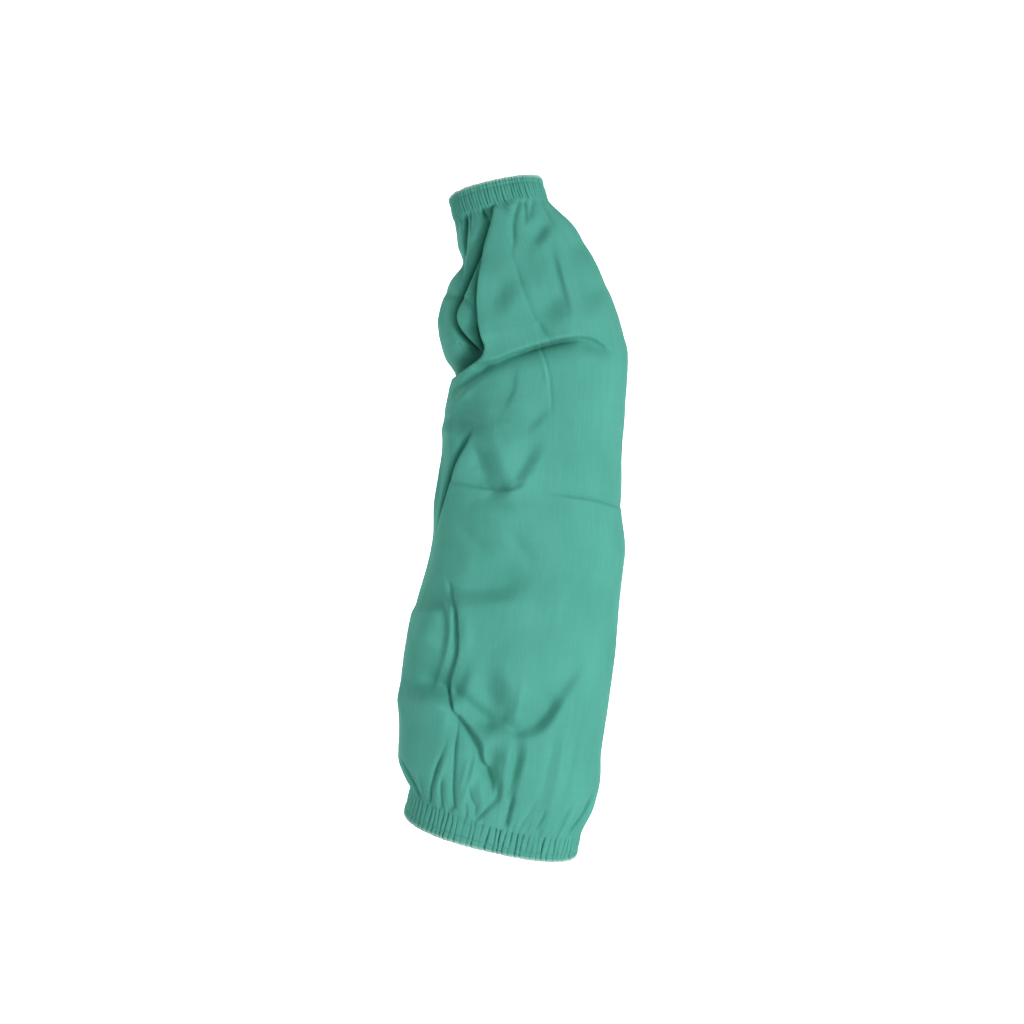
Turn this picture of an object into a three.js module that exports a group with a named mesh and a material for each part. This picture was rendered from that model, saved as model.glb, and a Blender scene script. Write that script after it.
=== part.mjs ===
// A flame-resistant work sleeve in the form that it takes on a bent arm, with the wrist at the top.
// It is one tube of cloth, gathered at each end into a cuff that has elastic sewn into it.
// Millimetres. +X is to the wearer's elbow, -Y to the front and +Z up towards the wrist.
// The origin is the middle of the opening that the upper arm goes into.
import * as THREE from "three";

// Walls and seams
const CLOTH_WALL = 1.2;
const CUFF_WALL = 2.6; // two layers of cloth with the elastic between them
const SEAM_GAP = 0.3; // between the tube's end and the cuff that it is sewn to

// Facets
const TUBE_COLUMNS = 56;
const TUBE_ROWS = 37;
const COLUMNS_PER_RIB = 2;

// Each section is where the front view has its left and right edges, with its depth from front to back.
// frontDrop is how much lower the front of the section hangs than its middle.
// The first two rows are the upper arm cuff, and the last two are the wrist cuff.
const SECTIONS = [
  { leftX: -72, leftZ: 17, rightX: 72, rightZ: -17, middleY: 0, halfDepth: 47, frontDrop: 12 },
  { leftX: -67, leftZ: 38, rightX: 76, rightZ: 3, middleY: -5, halfDepth: 48, frontDrop: 12 },
  { leftX: -76, leftZ: 61, rightX: 92, rightZ: 41, middleY: -11, halfDepth: 53, frontDrop: 10 },
  { leftX: -75, leftZ: 109, rightX: 98, rightZ: 105, middleY: -21, halfDepth: 54, frontDrop: 6 },
  { leftX: -72, leftZ: 154, rightX: 105, rightZ: 159, middleY: -28, halfDepth: 54, frontDrop: 3 },
  { leftX: -55, leftZ: 208, rightX: 111, rightZ: 215, middleY: -33, halfDepth: 57, frontDrop: 1 },
  { leftX: -45, leftZ: 280, rightX: 109, rightZ: 278, middleY: -37, halfDepth: 60, frontDrop: 0 },
  { leftX: -39, leftZ: 325, rightX: 110, rightZ: 325, middleY: -37, halfDepth: 60, frontDrop: 0 },
  { leftX: -36, leftZ: 384, rightX: 114, rightZ: 394, middleY: -34, halfDepth: 58, frontDrop: -1 },
  { leftX: -40, leftZ: 412, rightX: 110, rightZ: 412, middleY: -32, halfDepth: 56, frontDrop: -2 },
  { leftX: -38, leftZ: 442, rightX: 99, rightZ: 443, middleY: -27, halfDepth: 52, frontDrop: -3 },
  { leftX: -29, leftZ: 473, rightX: 83, rightZ: 477, middleY: -21, halfDepth: 45, frontDrop: -4 },
  { leftX: -30, leftZ: 505, rightX: 49, rightZ: 521, middleY: -14, halfDepth: 31, frontDrop: -6 },
  { leftX: -34, leftZ: 523, rightX: 43, rightZ: 540, middleY: -10, halfDepth: 30, frontDrop: -6 },
];

// A fold is a crease with a swell of cloth on its left-hand side, looking along it from start to end.
// start, middle and end are [x, z] as the front or back view has them, x to the right of the front view.
// width is across the crease, drop its depth and rise the swell's height. ends is its strength at each end.
const FRONT_FOLDS = [
  // the forearm's long lap and the narrower one that lies under it
  { start: [3, 520], middle: [-10, 460], end: [-6, 401], width: 9, rise: 4, drop: 8, ends: [1, 0.8] },
  { start: [-2, 506], middle: [-25, 440], end: [-10, 398], width: 7, rise: 2, drop: 5, ends: [0.6, 0.8] },
  { start: [-40, 466], middle: [-22, 468], end: [-8, 484], width: 8, rise: 0, drop: 7, ends: [1, 0.2] },
  // the crease inside the elbow and the dents over it
  { start: [-46, 366], middle: [8, 392], end: [93, 409], width: 13, rise: 6, drop: 8, ends: [1, 0.2] },
  { start: [36, 446], middle: [42, 432], end: [48, 416], width: 12, rise: 0, drop: 4, ends: [0, 0.6] },
  { start: [54, 491], middle: [60, 458], end: [64, 426], width: 9, rise: 2, drop: 2, ends: [0, 0] },
  { start: [38, 505], middle: [40, 494], end: [42, 484], width: 8, rise: 0, drop: 3, ends: [0.4, 0] },
  // the slack below the elbow
  { start: [-10, 358], middle: [-4, 322], end: [5, 287], width: 15, rise: 0, drop: 5, ends: [0, 0.8] },
  { start: [42, 314], middle: [32, 299], end: [20, 283], width: 8, rise: 2, drop: 3, ends: [0, 0.7] },
  { start: [-19, 324], middle: [-36, 283], end: [-49, 227], width: 8, rise: 3, drop: 6, ends: [0, 1] },
  { start: [-36, 289], middle: [30, 283], end: [108, 268], width: 6, rise: 0, drop: 3, ends: [0.6, 0.8] },
  // the upper arm's swags
  { start: [-34, 122], middle: [-27, 167], end: [-38, 217], width: 8, rise: 5, drop: 4, ends: [0.5, 0] },
  { start: [-34, 190], middle: [0, 195], end: [34, 205], width: 20, rise: 0, drop: 5, ends: [0.5, 0] },
  { start: [-52, 159], middle: [-56, 132], end: [-55, 105], width: 14, rise: 0, drop: 5, ends: [0.2, 0.2] },
  { start: [-24, 127], middle: [4, 93], end: [27, 81], width: 13, rise: 0, drop: 5, ends: [0.4, 0.8] },
  { start: [27, 81], middle: [56, 100], end: [76, 129], width: 13, rise: 0, drop: 4, ends: [0.8, 0] },
  // the long pleats that run down into the upper arm cuff
  { start: [-31, 30], middle: [-28, 80], end: [-34, 124], width: 8, rise: 4, drop: 6, ends: [0.8, 0.5] },
  { start: [-36, 80], middle: [-42, 57], end: [-49, 30], width: 7, rise: 3, drop: 5, ends: [0.2, 1] },
  { start: [-32, 117], middle: [-8, 72], end: [5, 24], width: 9, rise: 2, drop: 7, ends: [0.3, 1] },
  { start: [30, 71], middle: [20, 38], end: [12, 2], width: 9, rise: 0, drop: 6, ends: [0.2, 1] },
  { start: [91, 66], middle: [78, 38], end: [66, 7], width: 9, rise: 0, drop: 4, ends: [0, 0.8] },
];
const BACK_FOLDS = [
  { start: [-46, 366], middle: [0, 384], end: [70, 392], width: 15, rise: 5, drop: 7, ends: [0.9, 0] },
  { start: [-40, 466], middle: [-14, 452], end: [30, 448], width: 11, rise: 0, drop: 5, ends: [1, 0] },
  { start: [20, 505], middle: [14, 460], end: [30, 420], width: 10, rise: 2, drop: 5, ends: [0.8, 0] },
  { start: [-48, 250], middle: [-8, 280], end: [60, 292], width: 13, rise: 3, drop: 5, ends: [0.8, 0] },
  { start: [-36, 289], middle: [30, 283], end: [108, 268], width: 6, rise: 0, drop: 2, ends: [0.6, 0.8] },
  { start: [-62, 190], middle: [-20, 160], end: [40, 152], width: 14, rise: 3, drop: 5, ends: [0.4, 0] },
  { start: [-44, 30], middle: [-38, 76], end: [-50, 118], width: 9, rise: 3, drop: 5, ends: [1, 0] },
  { start: [0, 20], middle: [4, 62], end: [-6, 112], width: 10, rise: 2, drop: 6, ends: [1, 0] },
  { start: [48, 8], middle: [50, 46], end: [60, 90], width: 9, rise: 2, drop: 5, ends: [1, 0] },
];
const FOLD_STEPS = 10; // straight pieces that stand for one fold's curve
const FOLD_FADE = 26; // how far from a cuff a fold reaches its full depth
const CREASE_SHARE = 0.65; // the crease's half width as a share of the fold's width
const SLOPE_STEP = { along: 2, turn: 1.5 }; // how far each way a slope is measured, the turn in degrees
const SIDE_FADE = { back: -0.4, front: 0.1 }; // where the back view's folds give way to the front view's

// The gathers that fan out of each cuff. Lengths and depths differ from pleat to pleat by the spread.
// They are shallow at the seam, where the elastic holds the cloth, and at their deepest a little way out.
const WRIST_GATHERS = { pleats: 14, depth: 4.4, length: 50, spread: 0.55 };
const UPPER_ARM_GATHERS = { pleats: 14, depth: 5, length: 58, spread: 0.6 };
const GATHER_START = { share: 0.3, length: 9 };
const PLEAT_WIDTH = 0.38; // a pleat's half width as a share of the pleats' pitch

// The cuffs' ribs, and the outline of the band from its rim to the tube: how far out each line of it stands.
const WRIST_RIBS = { count: 54, height: 1.1 };
const UPPER_ARM_RIBS = { count: 60, height: 1.3 };
const BAND_PROFILE = [
  { share: 0, out: -0.6, ribs: 0.7 }, // the turned rim
  { share: 0.16, out: 0.3, ribs: 1 }, // the frill past the first row of stitches
  { share: 0.36, out: -0.5, ribs: 0.45 }, // the first row of stitches
  { share: 0.7, out: 0.6, ribs: 1 }, // the elastic
  { share: 1, out: -0.4, ribs: 0.5 }, // the second row of stitches
];

const CLOTH_FINISH = { color: 0x5fb0a0, roughness: 0.85, metalness: 0 };
const CUFF_FINISH = { color: 0x55a493, roughness: 0.9, metalness: 0 };
const cloth = new THREE.MeshStandardMaterial(CLOTH_FINISH);
const gatheredCloth = new THREE.MeshStandardMaterial(CUFF_FINISH);

const { smoothstep, lerp, degToRad } = THREE.MathUtils;
const bump = (x) => Math.exp(-x * x);

// The loft: a smooth run of every column of the section table, by the distance along the sleeve's middle.
const columnNames = Object.keys(SECTIONS[0]);
const middleOf = (s) =>
  new THREE.Vector3((s.leftX + s.rightX) / 2, s.middleY, (s.leftZ + s.rightZ) / 2);
const stations = [0];
for (let i = 1; i < SECTIONS.length; i++) {
  stations.push(stations[i - 1] + middleOf(SECTIONS[i]).distanceTo(middleOf(SECTIONS[i - 1])));
}
const loft = new THREE.CubicInterpolant(
  stations,
  SECTIONS.flatMap((s) => columnNames.map((name) => s[name])),
  columnNames.length,
);
const sleeveLength = stations.at(-1);
const upperArmSeam = stations[1];
const wristSeam = stations.at(-2);

// A section's middle, and its half width and half depth as vectors to the right and to the front.
function sectionAt(along) {
  const values = loft.evaluate(along);
  const s = Object.fromEntries(columnNames.map((name, i) => [name, values[i]]));
  return {
    middle: middleOf(s),
    right: new THREE.Vector3(s.rightX - s.leftX, 0, s.rightZ - s.leftZ).divideScalar(2),
    front: new THREE.Vector3(0, -Math.sqrt(s.halfDepth ** 2 - s.frontDrop ** 2), -s.frontDrop),
  };
}

// The smooth tube with no folds. turn is measured from the front towards the right, in radians.
function smoothTube(along, turn) {
  const { middle, right, front } = sectionAt(along);
  const point = middle.addScaledVector(right, Math.sin(turn)).addScaledVector(front, Math.cos(turn));
  const outward = right
    .clone()
    .multiplyScalar(Math.sin(turn) / right.lengthSq())
    .addScaledVector(front, Math.cos(turn) / front.lengthSq())
    .normalize();
  return { point, outward };
}

// A fold's curve passes through its three points.
function drawFold(fold) {
  const [start, middle, end] = [fold.start, fold.middle, fold.end].map((p) => new THREE.Vector2(...p));
  const pull = middle.clone().multiplyScalar(2).sub(start.clone().add(end).divideScalar(2));
  return { ...fold, line: new THREE.QuadraticBezierCurve(start, pull, end).getPoints(FOLD_STEPS) };
}
const frontFolds = FRONT_FOLDS.map(drawFold);
const backFolds = BACK_FOLDS.map(drawFold);

// How far a fold moves the cloth at a place in its view.
function foldHeight(fold, x, z) {
  const place = new THREE.Vector2(x, z);
  let nearest = { distance: Infinity };
  for (let i = 0; i < FOLD_STEPS; i++) {
    const run = fold.line[i + 1].clone().sub(fold.line[i]);
    const off = place.clone().sub(fold.line[i]);
    const share = THREE.MathUtils.clamp(off.dot(run) / run.lengthSq(), 0, 1);
    const distance = off.clone().addScaledVector(run, -share).length();
    if (distance < nearest.distance) {
      nearest = { distance, side: Math.sign(run.cross(off)), reach: (i + share) / FOLD_STEPS };
    }
  }
  const across = (nearest.distance * nearest.side) / fold.width;
  const half = nearest.reach < 0.5 ? nearest.reach * 2 : 2 - nearest.reach * 2;
  const strength = lerp(fold.ends[nearest.reach < 0.5 ? 0 : 1], 1, smoothstep(half, 0, 1));
  return strength * (fold.rise * bump(across - 1) - fold.drop * bump(across / CREASE_SHARE));
}

// Unlike numbers from 0 to 1, the same each time. The golden ratio keeps them from repeating.
const GOLDEN_RATIO = (1 + Math.sqrt(5)) / 2;
const KIND_STEP = 20; // so that a pleat's place, length and depth have nothing to do with each other
const unlike = (index, kind) => ((index + kind * KIND_STEP) ** 2 * GOLDEN_RATIO) % 1;

// Pleats that run out of a cuff and die away with the distance from it.
function gatherHeight(gathers, distance, turn) {
  const pitch = (2 * Math.PI) / gathers.pleats;
  let height = 0;
  for (let i = 0; i < gathers.pleats; i++) {
    const at = (i + gathers.spread * (unlike(i, 1) - 0.5)) * pitch;
    const away = Math.atan2(Math.sin(turn - at), Math.cos(turn - at));
    const length = gathers.length * lerp(1 - gathers.spread, 1 + gathers.spread, unlike(i, 2));
    const depth = gathers.depth * lerp(1 - gathers.spread, 1 + gathers.spread / 2, unlike(i, 3));
    height -= depth * bump(away / pitch / PLEAT_WIDTH) * (1 - smoothstep(distance, 0, length));
  }
  return height * lerp(GATHER_START.share, 1, smoothstep(distance, 0, GATHER_START.length));
}

// The tube's outer face, with every fold and gather on it.
function tubeFace(along, turn) {
  const { point, outward } = smoothTube(along, turn);
  const frontShare = smoothstep(Math.cos(turn), SIDE_FADE.back, SIDE_FADE.front);
  const toCuff = Math.min(along - upperArmSeam, wristSeam - along);
  const total = (folds) => folds.reduce((sum, fold) => sum + foldHeight(fold, point.x, point.z), 0);
  let height = lerp(total(backFolds), total(frontFolds), frontShare) * smoothstep(toCuff, 0, FOLD_FADE);
  height += gatherHeight(WRIST_GATHERS, wristSeam - along, turn);
  height += gatherHeight(UPPER_ARM_GATHERS, along - upperArmSeam, turn);
  return point.addScaledVector(outward, height);
}

// A hollow wall: face(row, turn) is its outer face and hollow(row, turn) its inner one, both from the bottom up.
function hollowWall(columns, face, faceRows, hollow, hollowRows) {
  const ring = (surface, row) =>
    Array.from({ length: columns }, (_, i) => surface(row, (i / columns) * 2 * Math.PI));
  const rings = [
    ...faceRows.map((row) => ring(face, row)),
    ...hollowRows.toReversed().map((row) => ring(hollow, row)),
  ];
  const corners = rings.flat().flatMap((p) => p.toArray());
  const triangles = [];
  rings.forEach((_, r) => {
    const here = r * columns;
    const next = ((r + 1) % rings.length) * columns;
    for (let i = 0; i < columns; i++) {
      const j = (i + 1) % columns;
      triangles.push(here + i, here + j, next + j, here + i, next + j, next + i);
    }
  });
  const geometry = new THREE.BufferGeometry();
  geometry.setAttribute("position", new THREE.Float32BufferAttribute(corners, 3));
  geometry.setIndex(triangles);
  geometry.computeVertexNormals();
  return geometry;
}

// The tube of cloth between the cuffs. Its inner face follows the folds, a wall's thickness in.
function makeTube() {
  const start = upperArmSeam + SEAM_GAP;
  const length = wristSeam - SEAM_GAP - start;
  const face = (row, turn) => tubeFace(start + row * length, turn);
  const step = { row: SLOPE_STEP.along / length, turn: degToRad(SLOPE_STEP.turn) };
  const inside = (row, turn) => {
    const up = face(Math.min(row + step.row, 1), turn).sub(face(Math.max(row - step.row, 0), turn));
    const round = face(row, turn + step.turn).sub(face(row, turn - step.turn));
    const { outward } = smoothTube(start + row * length, turn);
    const inward = row === 0 || row === 1 ? outward.negate() : round.cross(up).normalize().negate();
    return face(row, turn).addScaledVector(inward, CLOTH_WALL);
  };
  const rows = Array.from({ length: TUBE_ROWS + 1 }, (_, i) => i / TUBE_ROWS);
  return hollowWall(TUBE_COLUMNS, face, rows, inside, rows);
}

// A cuff from its rim to its seam: gathered ribs round the band, pinched in along the rows of stitches.
function makeCuff(rim, seam, ribs) {
  const lineAt = (row) => BAND_PROFILE.find((line) => line.share === row);
  const face = (row, turn) => {
    const { point, outward } = smoothTube(lerp(rim, seam, row), turn);
    const line = lineAt(row);
    const rib = (ribs.height / 2) * Math.cos(turn * ribs.count) * line.ribs;
    return point.addScaledVector(outward, line.out + rib);
  };
  const inside = (row, turn) => {
    const { point, outward } = smoothTube(lerp(rim, seam, row), turn);
    return point.addScaledVector(outward, -CUFF_WALL);
  };
  const upwards = (rows) => (rim < seam ? rows : rows.toReversed());
  const faceRows = upwards(BAND_PROFILE.map((line) => line.share));
  return hollowWall(ribs.count * COLUMNS_PER_RIB, face, faceRows, inside, upwards([0, 1]));
}

function named(name, geometry, material) {
  const mesh = new THREE.Mesh(geometry, material);
  mesh.name = name;
  return mesh;
}

const sleeve = new THREE.Group();
sleeve.add(
  named("sleeve_tube", makeTube(), cloth),
  named("upper_arm_cuff", makeCuff(0, upperArmSeam, UPPER_ARM_RIBS), gatheredCloth),
  named("wrist_cuff", makeCuff(sleeveLength, wristSeam, WRIST_RIBS), gatheredCloth),
);

export default sleeve;
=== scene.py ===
# %% [markdown]
# A flame-resistant sleeve in the form that it takes on a bent arm, with the wrist at the top.
# It is one tube of sea-green cotton. Each end is turned over a strip of elastic, and the elastic
# gathers the cloth into a ribbed cuff with a pale, frayed rim.
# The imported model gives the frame: its solids hold the size and place of the tube and the two cuffs,
# and each of them is replaced here by cloth that has its folds, its stitches and its weave.

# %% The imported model
from collections import namedtuple

import bmesh
import bpy
import numpy as np
from mathutils import Matrix, Vector, noise


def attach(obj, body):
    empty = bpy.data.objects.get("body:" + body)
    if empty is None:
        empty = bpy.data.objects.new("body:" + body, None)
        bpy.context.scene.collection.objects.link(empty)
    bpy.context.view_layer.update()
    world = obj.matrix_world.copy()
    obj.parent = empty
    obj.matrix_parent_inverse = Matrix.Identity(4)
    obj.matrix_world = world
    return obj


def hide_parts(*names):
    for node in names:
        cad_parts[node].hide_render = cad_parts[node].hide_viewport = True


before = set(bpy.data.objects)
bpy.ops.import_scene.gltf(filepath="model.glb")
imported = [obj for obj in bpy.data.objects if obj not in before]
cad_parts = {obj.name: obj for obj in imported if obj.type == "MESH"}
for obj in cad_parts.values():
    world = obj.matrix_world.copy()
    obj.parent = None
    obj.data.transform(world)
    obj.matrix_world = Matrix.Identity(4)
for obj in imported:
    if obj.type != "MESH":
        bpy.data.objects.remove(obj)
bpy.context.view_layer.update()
MM = 0.001
TAU = 2 * np.pi
print("nodes:", sorted(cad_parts))

# %% [markdown]
# The sleeve is measured on a picture plane, an upright plane through its middle, as a viewer two metres
# away sees it. Every outline and fold below is drawn on that plane in millimetres, x to the right and z up,
# and is then carried along the line of sight onto the cloth. The camera stands at the same point, so what
# is drawn where it is seen also renders there.

# %% The viewpoint
EYE = np.array([17.8, -2025.0, 264.8])
PICTURE_DISTANCE = 2000.0
PICTURE_SIDE = 850.0


def pictured(points):
    """Where points of the cloth are seen on the picture plane, as x and z."""
    flat = points[..., [0, 2]] - EYE[[0, 2]]
    return EYE[[0, 2]] + flat * PICTURE_DISTANCE / (points[..., 1:2] - EYE[1])


def smoothstep(low, high, x):
    t = np.clip((x - low) / (high - low), 0, 1)
    return t * t * (3 - 2 * t)


print("viewpoint in mm:", EYE.tolist())

# %% [markdown]
# The smooth form comes first. A sleeve could be pushed together from cylinders, but a cloth tube changes
# its width all the way along, so it is lofted: a table has one row for each section, with its left and
# right ends on the picture plane, its depth, and how far its front hangs below its middle. A smooth curve
# runs through every column. The first two rows are the upper arm cuff, and the last two the wrist cuff.

# %% The smooth form of the sleeve
Section = namedtuple("Section", "left_x left_z right_x right_z middle_y half_depth front_drop")
SECTIONS = np.array([
    Section(-71.8, 16.6, 71.8, -16.6, 0, 47, 12),
    Section(-66.8, 38.2, 75.9, 1.7, -5, 48, 12),
    Section(-72, 50, 86, 19, -8, 51, 11),
    Section(-76, 61, 91.7, 39, -11, 53, 10),
    Section(-75.5, 82, 93, 67, -16, 54, 8),
    Section(-75, 109, 98.4, 105, -21, 54, 6),
    Section(-72.6, 149, 104.2, 150, -27, 54, 3),
    Section(-66.8, 178, 107, 184, -31, 55, 2),
    Section(-56, 208, 110, 214, -33, 57, 1),
    Section(-49.5, 230, 112, 232, -35, 58, 1),
    Section(-46, 268, 108.3, 268, -37, 60, 0),
    Section(-43, 290, 109.1, 290, -37, 60, 0),
    Section(-39.5, 322, 109.6, 322, -37, 60, 0),
    Section(-38.5, 350, 111.6, 352, -36, 59, 0),
    Section(-34, 367, 113, 372, -35, 58, -1),
    Section(-31, 379, 114, 388, -35, 58, -1),
    Section(-37, 390, 114, 398, -34, 57, -1),
    Section(-41.5, 408, 111, 411, -32, 56, -2),
    Section(-39, 442, 100, 441, -28, 52, -3),
    Section(-34, 455, 94, 455, -25, 49, -3.5),
    Section(-25, 467, 87.6, 468, -22, 46, -4),
    Section(-27.5, 488, 71, 498, -18, 39, -5),
    Section(-29.9, 505.5, 48.6, 521.2, -14, 31, -6),
    Section(-34.4, 523, 42.7, 539.5, -10, 30, -6),
])


def smooth_through(stations, values, at):
    """A smooth curve through a table's rows. The slope at each row comes from its two neighbours."""
    slopes = np.gradient(values, stations, axis=0)
    i = np.clip(np.searchsorted(stations, at, side="right") - 1, 0, len(stations) - 2)
    step = (stations[i + 1] - stations[i])[:, None]
    t = (at - stations[i])[:, None] / step
    ahead = t * t * (3 - 2 * t)
    bend = t * (1 - t) * step * ((1 - t) * slopes[i] - t * slopes[i + 1])
    return (1 - ahead) * values[i] + ahead * values[i + 1] + bend


def stations_of(points):
    """The distance along a run of points."""
    return np.concatenate([[0], np.cumsum(np.linalg.norm(np.diff(points, axis=0), axis=1))])


table = Section(*SECTIONS.T)
section_middles = np.stack(
    [(table.left_x + table.right_x) / 2, table.middle_y, (table.left_z + table.right_z) / 2], axis=1
)
STATIONS = stations_of(section_middles)
UPPER_ARM_RIM, UPPER_ARM_SEAM = STATIONS[0], STATIONS[1]
WRIST_SEAM, WRIST_RIM = STATIONS[-2], STATIONS[-1]
# A section with a squareness of 2 is an ellipse, and a higher number brings it nearer to a rounded box.
SQUARENESS = 2.4


def smooth_tube(along, turn):
    """The unfolded sleeve, with a row for each distance along it and a column for each turn.

    A turn of 0 is the front, and a quarter turn is the right side.
    """
    s = Section(*smooth_through(STATIONS, SECTIONS, along).T)
    none = np.zeros(len(along))
    sight = (s.middle_y - EYE[1]) / PICTURE_DISTANCE
    left = EYE + np.stack([s.left_x - EYE[0], none, s.left_z - EYE[2]], axis=1) * sight[:, None]
    right = EYE + np.stack([s.right_x - EYE[0], none, s.right_z - EYE[2]], axis=1) * sight[:, None]
    middle = (left + right) / 2
    middle[:, 1] = s.middle_y
    side = (right - left) / 2
    front = np.stack([none, -np.sqrt(s.half_depth**2 - s.front_drop**2), -s.front_drop], axis=1)
    across, ahead = (np.sign(v) * np.abs(v) ** (2 / SQUARENESS) for v in (np.sin(turn), np.cos(turn)))
    return middle[:, None] + side[:, None] * across[:, None] + front[:, None] * ahead[:, None]


def outward(grid):
    """The direction out of a grid of points whose rows go up and whose columns close round."""
    up = np.gradient(grid, axis=0)
    around = np.roll(grid, -1, axis=1) - np.roll(grid, 1, axis=1)
    normal = np.cross(around, up)
    return normal / np.linalg.norm(normal, axis=2, keepdims=True)


print("sections:", len(SECTIONS), "length along the middle in mm:", round(WRIST_RIM))

# %% [markdown]
# Slack cloth on a bent arm falls into laps: one panel stands proud along an edge and the next goes down
# under it. Sculpting them by hand can't be repeated, so each lap is a drawn line with a few named sizes.
# The swell is on the left of the line as it is travelled, and the valley on its right. rise and drop are
# their heights, swell and valley their widths, edge is half the width of the step between them, lean is
# how far the swell overhangs the valley, and ends are the strengths at the start and the end of the line.
# A narrow edge makes a sharp crease, and a wide one a soft turn of the cloth.

# %% The laps of the forearm and the elbow
Lap = namedtuple("Lap", "points rise drop swell valley edge lean ends")
FOREARM_AND_ELBOW_LAPS = {
    "long forearm lap": Lap(
        [(2, 524), (1, 510), (-1.5, 500), (-5, 487), (-8.5, 470), (-11.5, 453), (-12.3, 440), (-11, 424),
         (-8.5, 412)],
        4, 6, 24, 4, 1, 1.5, (0.9, 0.9)),
    "strip under the long lap": Lap(
        [(1, 507), (-4, 490), (-9.5, 477), (-15, 463), (-19.5, 452), (-24.5, 441), (-28.3, 431),
         (-28.5, 424), (-25, 416), (-20, 410), (-14, 404)],
        2, 12, 10, 5.5, 1.1, 1.5, (0.25, 0.8)),
    "corner of the long lap and ridge under it": Lap(
        [(-9.5, 417), (-7.5, 409), (-6, 403), (-7, 398), (-12, 392), (-20, 385.5), (-30, 377), (-37, 371)],
        2.5, 17, 9, 15, 1.2, 1.5, (0.4, 0.5)),
    "elbow lip": Lap(
        [(-3, 388.5), (6, 391.5), (15, 395.3), (26, 399), (37, 402.5), (50, 406), (64, 408.4), (77, 409.4),
         (86, 407.6), (92, 404)],
        0.9, 12, 30, 7, 2.2, 1.8, (0.5, 0.3)),
    "slanting crease": Lap(
        [(25, 391), (21.5, 378), (20, 367), (14, 354), (9, 343)], 0.2, 0.5, 14, 12, 3, 0, (0.1, 0.1)),
    "second slanting crease": Lap([(54, 354), (42, 342), (28, 327)], 0.4, 0.8, 14, 12, 4.5, 0, (0, 0)),
    "soft turn in the forearm's middle": Lap(
        [(68, 446), (57, 433), (41, 422)], 1.5, 2.2, 30, 26, 12, 0, (0.3, 0.2)),
    "soft turn on the forearm's left": Lap(
        [(19, 464), (14, 446), (5, 434), (-5, 428)], 1.2, 1.9, 22, 20, 11, 0, (0, 0.1)),
    "soft turn on the forearm's right": Lap(
        [(101, 460), (90, 444), (78, 436), (64, 434)], 1.2, 1.8, 26, 22, 13, 0, (0, 0)),
    "soft turn by the wrist": Lap([(90, 498), (77, 480), (63, 470)], 1.1, 1.7, 26, 22, 13, 0, (0, 0)),
    "spot by the wrist": Lap([(51, 509), (45, 497), (34, 482)], 1, 2.4, 14, 13, 6, 0, (0.1, 0.1)),
    "over the fold's tip": Lap(
        [(10, 314), (4, 323), (-6, 330), (-16, 333.5), (-27, 335.5), (-42, 340)],
        2, 2.8, 20, 26, 9, 0, (0.1, 0.9)),
    "left side of the slack": Lap(
        [(-10, 348), (-8, 336), (-5, 322), (-1, 310), (3.5, 298), (9, 285)],
        2.6, 3.8, 28, 24, 12, 0, (0.4, 0.7)),
    "top of the slack's left side": Lap(
        [(-12, 362), (-18, 346), (-18, 330), (-11, 312)], 1.6, 2.4, 30, 26, 15, 0, (0, 0)),
    "right side of the slack": Lap(
        [(47, 328), (40, 317), (34, 307), (28.5, 297.5), (23, 290), (14, 284)],
        0.7, 2, 18, 15, 6.5, 0, (0, 0.8)),
    "left lap": Lap(
        [(-18, 326), (-22, 319), (-26.5, 311), (-30, 302), (-33.5, 290), (-37, 278), (-41, 264),
         (-44.5, 250), (-48, 236)],
        2, 11, 12, 5, 1.1, 1.2, (0.5, 0)),
    "pressed crosswise crease, left": Lap(
        [(21, 284.5), (13, 282.4), (5, 283.2), (-5, 284.7), (-15, 286.5), (-30, 288.8)],
        0.5, 4.2, 9, 5, 1.3, 0, (0.7, 0.5)),
    "pressed crosswise crease, right": Lap(
        [(107, 268.2), (95, 272), (80, 275.3), (65, 277.7), (44, 280.5)], 0.8, 2.2, 6, 5, 1.3, 0, (1, 0.1)),
}
print("laps of the forearm and the elbow:", len(FOREARM_AND_ELBOW_LAPS))

# %% [markdown]
# On the upper arm the slack cloth hangs towards the cuff. A groove runs down its inner side, a broad fold
# curves over the cuff like a smile, and one pleat winds on from the groove down to the cuff. These could be
# grooves alone, but each has a lit and a shaded side, so they are laps too.

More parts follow.
